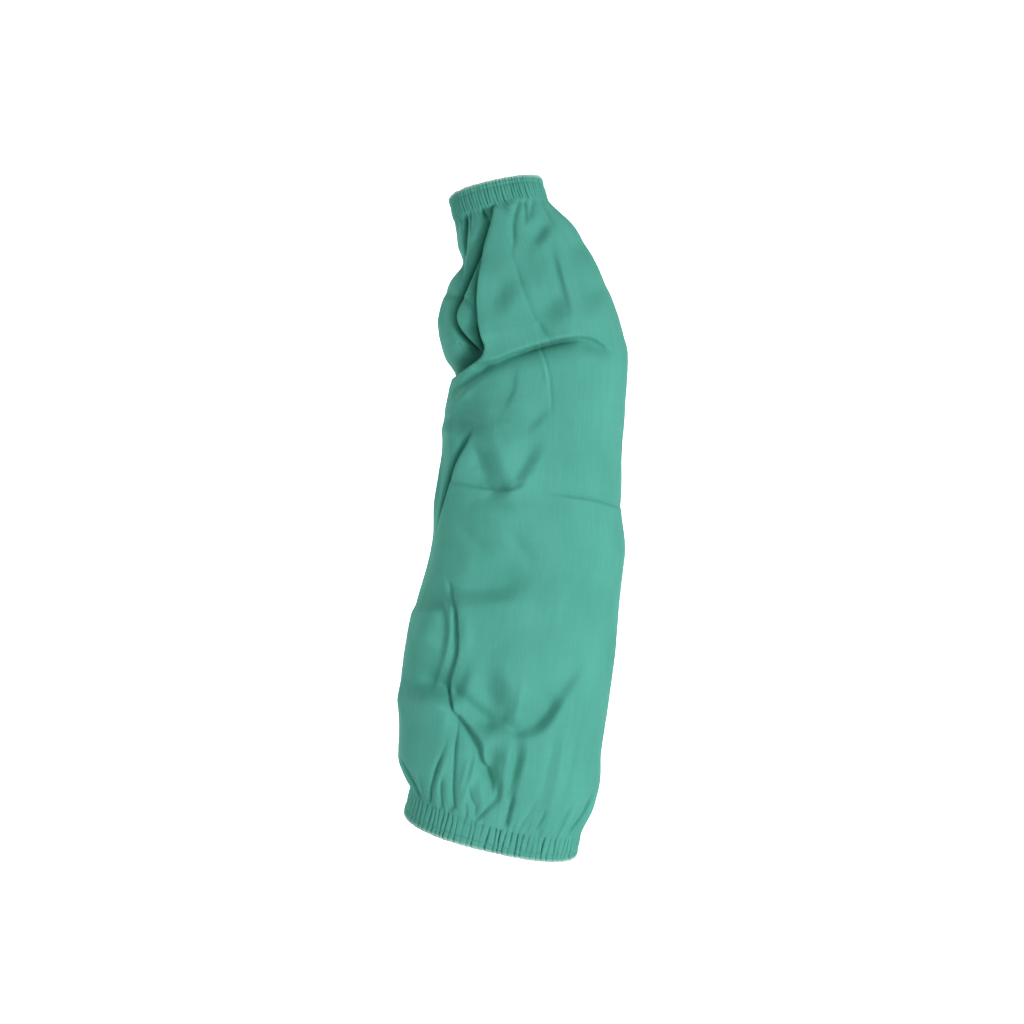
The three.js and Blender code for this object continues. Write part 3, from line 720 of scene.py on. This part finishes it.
def tube_grid(along, turn):
    """The folded tube as a grid of points, and how deep each point lies in a crease."""
    grid = smooth_tube(along, turn)
    normal = outward(grid)
    in_front = smoothstep(*FRONT_BLEND, np.cos(turn))[None, :, None]
    front, sunk_front = folded(
        grid, normal, FRONT_LAPS, FRONT_GROOVES, {**FRONT_HOLLOWS, **FRONT_SWELLS}, pictured(grid), FORWARD
    )
    back, sunk_back = folded(
        grid, normal, BACK_LAPS, BACK_GROOVES, BACK_HOLLOWS, grid[..., [0, 2]], -FORWARD
    )
    sunk = in_front[..., 0] * sunk_front + (1 - in_front[..., 0]) * sunk_back
    from_below, from_above = along - UPPER_ARM_SEAM, WRIST_SEAM - along
    fade = smoothstep(0, FOLD_FADE, np.minimum(from_below, from_above))[:, None]
    moved = (in_front * front + (1 - in_front) * back) * fade[..., None]
    heights = (noise_heights(grid) - seam_depths(turn)) * fade
    pleat_share = 1 + (FRONT_PLEAT_SHARE - 1) * smoothstep(*FRONT_PLEAT_BLEND, np.cos(turn))
    for gathers, distance in ((UPPER_ARM, from_below), (WRIST, from_above)):
        start = smoothstep(0, PLEAT_START, distance)[:, None]
        heights -= pleat_depths(gathers, distance, turn) * pleat_share * start
        heights += rib_heights(gathers, turn, np.ones(len(along)), distance)
    return grid + moved + heights[..., None] * normal, sunk * fade


tube_points, tube_sunk = tube_grid(tube_along, tube_turn)
tube_mesh, tube_row, tube_column = open_tube("sleeve_cloth_tube", TUBE_COLUMNS, TUBE_ROWS)
set_places(tube_mesh, tube_points[tube_row, tube_column])
set_cloth_map(
    tube_mesh,
    ((tube_turn / TAU + 0.5) * CLOTH_AROUND)[tube_column],
    (tube_share * CLOTH_ALONG)[tube_row],
)
tube = add_object(tube_mesh)
# The crease share is painted shade: the material darkens the cloth's colour where the creases are deep.
set_share(tube_mesh, "crease", smoothstep(*CREASE_DEPTHS, tube_sunk)[tube_row, tube_column])
print("tube box in mm:", tube_points.min(axis=(0, 1)).round(), tube_points.max(axis=(0, 1)).round())

# %% [markdown]
# A cuff is the end of the tube turned over its elastic: a ring whose outline goes from the seam along the
# outside, round the rim and back along the inside. A row of stitches pinches it near the rim, which leaves
# a narrow frill. Spinning the outline would give no ribs, so the ring is a grid too, and bridging its first
# and last rows closes it. share is the place from the rim to the seam, out the height of the outline, and
# ribs how much of the ribs' depth it has there.

# %% The cuffs
CuffLine = namedtuple("CuffLine", "share out ribs")
CUFF_OUTLINE = np.array([
    CuffLine(1.0, 0.0, 1.0),
    CuffLine(0.92, 0.2, 1.0),
    CuffLine(0.7, 0.8, 1.0),
    CuffLine(0.5, 0.8, 1.0),
    CuffLine(0.36, 0.3, 0.9),
    CuffLine(0.31, -0.4, 0.6),
    CuffLine(0.27, -0.3, 0.6),
    CuffLine(0.2, 0.4, 1.1),
    CuffLine(0.1, 0.5, 1.3),
    CuffLine(0.02, 0.3, 1.3),
    CuffLine(0.0, -0.4, 1.2),
    CuffLine(0.03, -1.2, 0.9),
    CuffLine(0.3, -2.6, 0.5),
    CuffLine(0.7, -3.0, 0.4),
    CuffLine(1.0, -2.6, 0.4),
])
CUFF_ROWS = 52
COLUMNS_PER_RIB = 10
CUFF_LEVELS = 12
FRAYED_SHARE = 0.17
Cuff = namedtuple("Cuff", "name rim seam gathers")


def cuff_points(cuff, rows, turn):
    """A cuff as a grid of points for rows from 0 to 1 along its outline, each row's line, and its ribs."""
    stations = np.linspace(0, 1, len(CUFF_OUTLINE))
    line = CuffLine(*smooth_through(stations, CUFF_OUTLINE, rows).T)
    along = cuff.rim + (cuff.seam - cuff.rim) * line.share
    levels = np.linspace(min(cuff.rim, cuff.seam), max(cuff.rim, cuff.seam), CUFF_LEVELS)
    normals = outward(smooth_tube(levels, turn))
    pick = np.rint(np.interp(along, levels, np.arange(len(levels)))).astype(int)
    ribs = rib_heights(cuff.gathers, turn, line.share, 0 * line.share)
    height = line.out[:, None] + ribs * line.ribs[:, None]
    return smooth_tube(along, turn) + height[..., None] * normals[pick], line, ribs


def make_cuff(cuff):
    columns = cuff.gathers.ribs * COLUMNS_PER_RIB
    turn = even_turns(cuff.gathers, columns)
    rows = np.linspace(0, 1, CUFF_ROWS)
    grid, line, ribs = cuff_points(cuff, rows, turn)
    mesh, row, column = open_tube(cuff.name, columns, CUFF_ROWS)
    set_places(mesh, grid[row, column])
    around = girth_shares(cuff.gathers, turn) * CLOTH_AROUND
    set_cloth_map(mesh, around[column], (rows * 2 * abs(cuff.seam - cuff.rim) * MM)[row])
    # The grooves between the ribs get the crease share too, so painted shade darkens them.
    set_share(mesh, "crease", np.clip(-ribs / cuff.gathers.rib_depth, 0, 1)[row, column])
    set_share(mesh, "frayed", (1 - smoothstep(0, FRAYED_SHARE, line.share))[row])
    bm = bmesh.new()
    bm.from_mesh(mesh)
    bmesh.ops.bridge_loops(bm, edges=[e for e in bm.edges if e.is_boundary])
    bmesh.ops.recalc_face_normals(bm, faces=bm.faces)
    for face in bm.faces:
        face.smooth = True
    bm.to_mesh(mesh)
    bm.free()
    return add_object(mesh)


UPPER_ARM_CUFF = Cuff("upper_arm_cuff_cloth", UPPER_ARM_RIM, UPPER_ARM_SEAM, UPPER_ARM)
WRIST_CUFF = Cuff("wrist_cuff_cloth", WRIST_RIM, WRIST_SEAM, WRIST)
upper_arm_cuff = make_cuff(UPPER_ARM_CUFF)
wrist_cuff = make_cuff(WRIST_CUFF)
print("cuff faces:", len(upper_arm_cuff.data.polygons), len(wrist_cuff.data.polygons))

# %% [markdown]
# Two rows of stitches hold the elastic in, one at the seam and one below the frill, and a third runs beside
# the lengthwise seam at the back. A curve could carry them, but single stitches show up better: each one is
# a small sphere, drawn out along the row and laid on the cloth.

# %% Stitches
STITCH_LENGTH, STITCH_GAP, STITCH_THICKNESS = 2.2, 1.0, 0.45
STITCH_ROWS = (0.05, 0.39)
STITCH_SIDES, STITCH_RINGS = 6, 4
STITCH_PATH_STEPS = 1500


def add_stitches(bm, path):
    """Stitches along a run of points in millimetres."""
    stations = stations_of(path)
    for begin in np.arange(0, stations[-1] - STITCH_LENGTH, STITCH_LENGTH + STITCH_GAP):
        ends = (begin, begin + STITCH_LENGTH)
        a, b = (Vector([np.interp(at, stations, axis) for axis in path.T]) for at in ends)
        size = Vector((STITCH_THICKNESS / 2, STITCH_THICKNESS / 2, (b - a).length / 2)) * MM
        place = Matrix.LocRotScale((a + b) / 2 * MM, (b - a).to_track_quat("Z", "Y"), size)
        bmesh.ops.create_uvsphere(
            bm, u_segments=STITCH_SIDES, v_segments=STITCH_RINGS, radius=1, matrix=place
        )


def make_stitches(name, paths):
    bm = bmesh.new()
    for path in paths:
        add_stitches(bm, path)
    for face in bm.faces:
        face.smooth = True
    mesh = bpy.data.meshes.new(name)
    bm.to_mesh(mesh)
    bm.free()
    return add_object(mesh)


def cuff_stitches(cuff, name):
    turn = np.linspace(-np.pi, np.pi, STITCH_PATH_STEPS)
    grid, _, _ = cuff_points(cuff, np.array(STITCH_ROWS), turn)
    return make_stitches(name, grid)


upper_arm_stitches = cuff_stitches(UPPER_ARM_CUFF, "upper_arm_cuff_stitches")
wrist_stitches = cuff_stitches(WRIST_CUFF, "wrist_cuff_stitches")
back_column = np.argmin(np.abs(tube_turn - SEAM_STITCH_TURN))
seam_stitches = make_stitches("lengthwise_seam_stitches", [tube_points[:, back_column]])
print("stitch faces:", [len(o.data.polygons) for o in (upper_arm_stitches, wrist_stitches, seam_stitches)])

# %% [markdown]
# The rims are cut edges, so their yarns come loose. Hair particles would do, but a mesh doesn't keep them.
# So each thread is a thin bevelled curve of a few points that leaves the rim, bends a little and ends, and
# all of a rim's threads are made one mesh. Most are short, and a few hang out further.

# %% Frayed rims
Fray = namedtuple("Fray", "seed threads short long long_share thickness bend")
FRAY = Fray(
    seed=21, threads=600, short=(0.5, 1.7), long=(3.0, 8.0), long_share=0.014, thickness=0.12, bend=0.5
)
THREAD_POINTS = 5
THREAD_ROOT = 0.8
AWAY_SHARE = 0.2


def make_fray(name, cuff):
    rng = np.random.default_rng(FRAY.seed)
    turn = np.sort(rng.uniform(-np.pi, np.pi, FRAY.threads))
    at_rim = smooth_tube(np.array([cuff.rim]), turn)[0]
    inside = smooth_tube(np.array([cuff.rim + (cuff.seam - cuff.rim) * AWAY_SHARE]), turn)[0]
    away = at_rim - inside
    away /= np.linalg.norm(away, axis=1, keepdims=True)
    curve = bpy.data.curves.new(name, "CURVE")
    curve.dimensions = "3D"
    curve.bevel_depth = FRAY.thickness * MM
    curve.bevel_resolution = 0
    for start, ahead in zip(at_rim, away):
        long = rng.uniform() < FRAY.long_share
        length = rng.uniform(*(FRAY.long if long else FRAY.short))
        lean, bend = FRAY.bend * rng.normal(size=(2, 3))
        share = np.linspace(0, 1, THREAD_POINTS)[:, None]
        path = start - THREAD_ROOT * ahead + length * (share * (ahead + lean) + share**2 * bend)
        spline = curve.splines.new("POLY")
        spline.points.add(THREAD_POINTS - 1)
        spline.points.foreach_set("co", np.column_stack([path * MM, np.ones(THREAD_POINTS)]).ravel())
    drawn = bpy.data.objects.new(name + "_curve", curve)
    bpy.context.scene.collection.objects.link(drawn)
    mesh = bpy.data.meshes.new_from_object(drawn.evaluated_get(bpy.context.evaluated_depsgraph_get()))
    mesh.name = name
    bpy.data.objects.remove(drawn)
    return add_object(mesh)


upper_arm_fray = make_fray("upper_arm_frayed_rim", UPPER_ARM_CUFF)
wrist_fray = make_fray("wrist_frayed_rim", WRIST_CUFF)
print("thread faces:", len(upper_arm_fray.data.polygons), len(wrist_fray.data.polygons))

# %% [markdown]
# A picture of real cloth could be the finish, but patterns that are worked out need no file and don't
# repeat. A few helpers keep their node trees short: they add a node with its inputs set or linked, do sums,
# read an attribute, make a ramp of two colours, and draw noise out along the yarns.

# %% Helpers for the finishes
Streaks = namedtuple("Streaks", "around up detail share")


def new_material(name):
    """A new material with its node tree and its shader."""
    material = bpy.data.materials.new(name)
    material.use_nodes = True
    return material, material.node_tree, material.node_tree.nodes["Principled BSDF"]


def set_inputs(shader, **values):
    """Sets numbers and colours that are the same all over, straight on the shader's sockets."""
    for name, value in values.items():
        shader.inputs[name.replace("_", " ")].default_value = value


def add_node(tree, kind, **values):
    """A new node with some of its inputs set, or linked where the value is another node's output."""
    made = tree.nodes.new(kind)
    for name, value in values.items():
        socket = made.inputs[int(name[1:])] if name[1:].isdigit() else made.inputs[name.replace("_", " ")]
        if isinstance(value, bpy.types.NodeSocket):
            tree.links.new(value, socket)
        else:
            socket.default_value = value
    return made


def math_node(tree, operation, a, b=0.0):
    made = add_node(tree, "ShaderNodeMath", _0=a, _1=b)
    made.operation = operation
    return made.outputs[0]


def attribute_node(tree, name):
    made = tree.nodes.new("ShaderNodeAttribute")
    made.attribute_name = name
    return made.outputs["Fac"]


def ramp_node(tree, factor, *ends):
    """A ramp between two colours. Each end is a position and a colour."""
    made = add_node(tree, "ShaderNodeValToRGB", Fac=factor)
    for element, (position, colour) in zip(made.color_ramp.elements, ends):
        element.position = position
        element.color = colour
    return made.outputs[0]


def streak_noise(tree, cloth_map, streaks):
    """Noise at one scale round the cloth and another up it, both per metre, which draws it out."""
    stretched = add_node(tree, "ShaderNodeMapping", Vector=cloth_map, Scale=(streaks.around, streaks.up, 1))
    drawn = add_node(
        tree, "ShaderNodeTexNoise", Vector=stretched.outputs[0], Scale=1.0, Detail=streaks.detail
    )
    return drawn.outputs[0]


def linear(red, green, blue):
    """A colour read off as 0 to 255, as the linear values that Blender works in."""
    srgb = np.array([red, green, blue]) / 255
    return (*np.where(srgb <= 0.04045, srgb / 12.92, ((srgb + 0.055) / 1.055) ** 2.4), 1)


print("finish helpers are ready")

# %% [markdown]
# Cotton is dull, with a faint bloom at grazing angles, which is sheen. Its colour is never even: the yarns
# are thick and thin, so faint streaks run along them, and dye takes unevenly over a few centimetres. The
# patterns use the cloth's own map, in metres of cloth, so they bend with the folds. Creases are a shade
# darker, since soft light hardly reaches into them, and the frayed rim is pale. The weave is too fine to
# model, so it is a bump.

# %% Cotton
YARNS_PER_METRE = (2600, 1900)
WARP = Streaks(around=1000, up=25, detail=2.0, share=0.3)
WEFT = Streaks(around=30, up=900, detail=2.0, share=0.15)
MOTTLE = Streaks(around=26, up=18, detail=3.0, share=0.5)
DYE_RAMP = (0.35, 0.65)
CREASE_SHADE = 0.36
WEAVE_SHARE, WEAVE_STRENGTH, WEAVE_DEPTH = 0.35, 0.15, 0.0003
DARK_GREEN, LIGHT_GREEN = linear(83, 164, 148), linear(93, 177, 161)
RIM_COLOUR = linear(188, 218, 211)


def cotton_colour(tree, warp, weft, mottle):
    even = math_node(tree, "MULTIPLY", warp, WARP.share)
    even = math_node(tree, "ADD", even, math_node(tree, "MULTIPLY", weft, WEFT.share))
    even = math_node(tree, "ADD", even, math_node(tree, "MULTIPLY", mottle, MOTTLE.share))
    dyed = ramp_node(tree, even, (DYE_RAMP[0], DARK_GREEN), (DYE_RAMP[1], LIGHT_GREEN))
    # Painted shade: the colour is darkened in creases by the crease share times CREASE_SHADE.
    darker = math_node(tree, "MULTIPLY", attribute_node(tree, "crease"), CREASE_SHADE)
    shaded = add_node(tree, "ShaderNodeVectorMath", _0=dyed, _3=math_node(tree, "SUBTRACT", 1.0, darker))
    shaded.operation = "SCALE"
    frayed = attribute_node(tree, "frayed")
    pale = add_node(tree, "ShaderNodeMixRGB", Fac=frayed, Color1=shaded.outputs[0], Color2=RIM_COLOUR)
    return pale.outputs[0]


def cotton_weave(tree, cloth_map, warp, weft):
    ways = add_node(tree, "ShaderNodeSeparateXYZ", Vector=cloth_map)
    waves = [
        math_node(tree, "SINE", math_node(tree, "MULTIPLY", way, yarns * np.pi))
        for way, yarns in zip(ways.outputs, YARNS_PER_METRE)
    ]
    crossed = math_node(tree, "MULTIPLY", *waves)
    height = math_node(tree, "ADD", math_node(tree, "MULTIPLY", crossed, WEAVE_SHARE), warp)
    height = math_node(tree, "ADD", height, weft)
    bump = add_node(tree, "ShaderNodeBump", Height=height, Strength=WEAVE_STRENGTH, Distance=WEAVE_DEPTH)
    return bump.outputs[0]


def make_cotton(name):
    material, tree, shader = new_material(name)
    cloth_map = add_node(tree, "ShaderNodeUVMap").outputs[0]
    warp, weft, mottle = (streak_noise(tree, cloth_map, streaks) for streaks in (WARP, WEFT, MOTTLE))
    tree.links.new(cotton_colour(tree, warp, weft, mottle), shader.inputs["Base Color"])
    tree.links.new(cotton_weave(tree, cloth_map, warp, weft), shader.inputs["Normal"])
    set_inputs(shader, Roughness=0.85, Specular_IOR_Level=0.12)
    set_inputs(shader, Sheen_Weight=0.03, Sheen_Roughness=0.45, Sheen_Tint=(0.75, 0.95, 0.88, 1))
    return material


cotton = make_cotton("sea green cotton")
for piece in (tube, upper_arm_cuff, wrist_cuff):
    piece.data.materials.append(cotton)
print("cloth finish:", cotton.name)

# %% [markdown]
# The sewing yarn is close to the cloth's colour, and the loose yarns are as pale as the rim. One plain
# colour would look like wire, so a fine noise makes them uneven. They have no map of their own, and the
# noise uses the object's coordinates.

# %% Yarns
SEWING_COLOUR = linear(96, 176, 160)
FUZZ_SCALE, FUZZ_RAMP, FUZZ_SHADE = 900.0, (0.3, 0.7), 0.8


def make_yarn(name, colour):
    material, tree, shader = new_material(name)
    place = tree.nodes.new("ShaderNodeTexCoord").outputs["Object"]
    fuzz = add_node(tree, "ShaderNodeTexNoise", Vector=place, Scale=FUZZ_SCALE, Detail=2.0).outputs[0]
    shaded = (*[FUZZ_SHADE * part for part in colour[:3]], 1)
    uneven = ramp_node(tree, fuzz, (FUZZ_RAMP[0], shaded), (FUZZ_RAMP[1], colour))
    tree.links.new(uneven, shader.inputs["Base Color"])
    set_inputs(shader, Roughness=0.9, Sheen_Weight=0.3)
    return material


sewing_yarn = make_yarn("sewing yarn", SEWING_COLOUR)
loose_yarn = make_yarn("loose yarn", RIM_COLOUR)
for piece in (upper_arm_stitches, wrist_stitches, seam_stitches):
    piece.data.materials.append(sewing_yarn)
for piece in (upper_arm_fray, wrist_fray):
    piece.data.materials.append(loose_yarn)
print("yarn finishes:", sewing_yarn.name, loose_yarn.name)

# %% [markdown]
# Each piece is listed with the solid that it stands for, a name for its finish and, because it is cloth,
# the size that it was cut to, but the finish's name and the size are not used here. The solid is hidden, and
# the piece moves with the root, as do the stitches and loose threads that are part of it.
# Cloth over elastic doesn't show how much of it there is, so the hems' girths are estimates.

# %% What each piece stands for
UPPER_ARM_HEM, WRIST_HEM = (0.42, 0.024), (0.36, 0.020)
PIECES = {
    "sleeve_tube": (tube, "sleeve_cloth", (CLOTH_AROUND, CLOTH_ALONG), [seam_stitches]),
    "upper_arm_cuff": (upper_arm_cuff, "cuff_cloth", UPPER_ARM_HEM, [upper_arm_stitches, upper_arm_fray]),
    "wrist_cuff": (wrist_cuff, "cuff_cloth", WRIST_HEM, [wrist_stitches, wrist_fray]),
}
for node, (piece, finish, flat, sewn_on) in PIECES.items():
    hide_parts(node)
    for part in (piece, *sewn_on):
        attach(part, "root")
print("pieces:", [piece.name for piece, _, _, _ in PIECES.values()])

# %% [markdown]
# The studio is a pale floor that bends up into a wall. Two planes would show the corner between them, so one
# edge is extruded back and then up, and the corner is bevelled into a wide curve.

# %% The floor
FLOOR_Z, FLOOR_FRONT, FLOOR_BACK, FLOOR_SIDE, WALL_TOP = -0.9, -4.0, 1.8, 4.0, 4.0
FLOOR_CURVE, FLOOR_CURVE_STEPS = 0.9, 24


def make_floor():
    bm = bmesh.new()
    corners = [bm.verts.new((x, FLOOR_FRONT, FLOOR_Z)) for x in (-FLOOR_SIDE, FLOOR_SIDE)]
    edge = bm.edges.new(corners)
    for step in ((0, FLOOR_BACK - FLOOR_FRONT, 0), (0, 0, WALL_TOP - FLOOR_Z)):
        grown = bmesh.ops.extrude_edge_only(bm, edges=[edge])["geom"]
        bmesh.ops.translate(bm, vec=step, verts=[v for v in grown if isinstance(v, bmesh.types.BMVert)])
        edge = next(g for g in grown if isinstance(g, bmesh.types.BMEdge) and len(g.link_faces) == 1
                    and abs(g.verts[0].co.x - g.verts[1].co.x) > FLOOR_SIDE)
    corner = [e for e in bm.edges if len(e.link_faces) == 2]
    bmesh.ops.bevel(
        bm, geom=corner, offset=FLOOR_CURVE, segments=FLOOR_CURVE_STEPS,
        profile=0.5, affect="EDGES", material=-1,
    )
    bmesh.ops.recalc_face_normals(bm, faces=bm.faces)
    for face in bm.faces:
        face.smooth = True
    mesh = bpy.data.meshes.new("floor")
    bm.to_mesh(mesh)
    bm.free()
    return add_object(mesh)


floor = make_floor()
paper, _, paper_shader = new_material("white paper")
set_inputs(paper_shader, Base_Color=(0.9, 0.9, 0.9, 1), Roughness=0.9)
floor.data.materials.append(paper)
print("floor faces:", len(floor.data.polygons))

# %% [markdown]
# Folds show by their shading. The key light is large and soft and stands low at the front right, so cloth
# that faces left or up is darker. A weak lamp behind at the left lights that edge, and an even room light
# fills the shadows. One strong lamp on the wall would also light the sleeve's back too much, so two
# weak ones light it from the sides.

# %% The light
SLEEVE_MIDDLE, WALL_MIDDLE = (0.02, 0.0, 0.27), (0.0, 1.8, 0.1)
Lamp = namedtuple("Lamp", "place size power aim spread")
LAMPS = {
    "key": Lamp((2.75, -3.3, 0.05), 1.6, 96, SLEEVE_MIDDLE, np.pi),
    "rim": Lamp((-2.2, 1.0, 0.35), 1.0, 13, SLEEVE_MIDDLE, np.pi),
    "backdrop left": Lamp((-1.7, 0.5, 0.3), 0.8, 20, WALL_MIDDLE, np.pi / 2),
    "backdrop right": Lamp((1.7, 0.5, 0.3), 0.8, 20, WALL_MIDDLE, np.pi / 2),
}
ROOM_COLOUR, ROOM_STRENGTH = (0.92, 1, 0.98, 1), 0.46


def add_light(name, lamp):
    data = bpy.data.lights.new(name, "AREA")
    data.shape = "DISK"
    data.size = lamp.size
    data.energy = lamp.power
    data.spread = lamp.spread
    light = bpy.data.objects.new(name, data)
    bpy.context.scene.collection.objects.link(light)
    light.location = lamp.place
    light.rotation_euler = (Vector(lamp.place) - Vector(lamp.aim)).to_track_quat("Z", "Y").to_euler()


for name, lamp in LAMPS.items():
    add_light(name, lamp)
world = bpy.data.worlds.new("studio")
world.use_nodes = True
set_inputs(world.node_tree.nodes["Background"], Color=ROOM_COLOUR, Strength=ROOM_STRENGTH)
bpy.context.scene.world = world
bpy.context.scene.view_settings.view_transform = "Standard"
print("lights:", sorted(LAMPS))

# %% [markdown]
# The camera stands at the viewpoint and looks straight ahead, level. Its lens could be found by trial, but
# it follows from two triangles: the sensor is to the lens as the picture's side is to its distance.

# %% The camera
SENSOR_WIDTH = 36
camera_data = bpy.data.cameras.new("camera")
camera_data.sensor_width = SENSOR_WIDTH
camera_data.lens = SENSOR_WIDTH * PICTURE_DISTANCE / PICTURE_SIDE
camera = bpy.data.objects.new("camera", camera_data)
bpy.context.scene.collection.objects.link(camera)
camera.location = EYE * MM
camera.rotation_euler = (np.pi / 2, 0, 0)
bpy.context.scene.camera = camera
print("lens in mm:", round(camera_data.lens, 1))
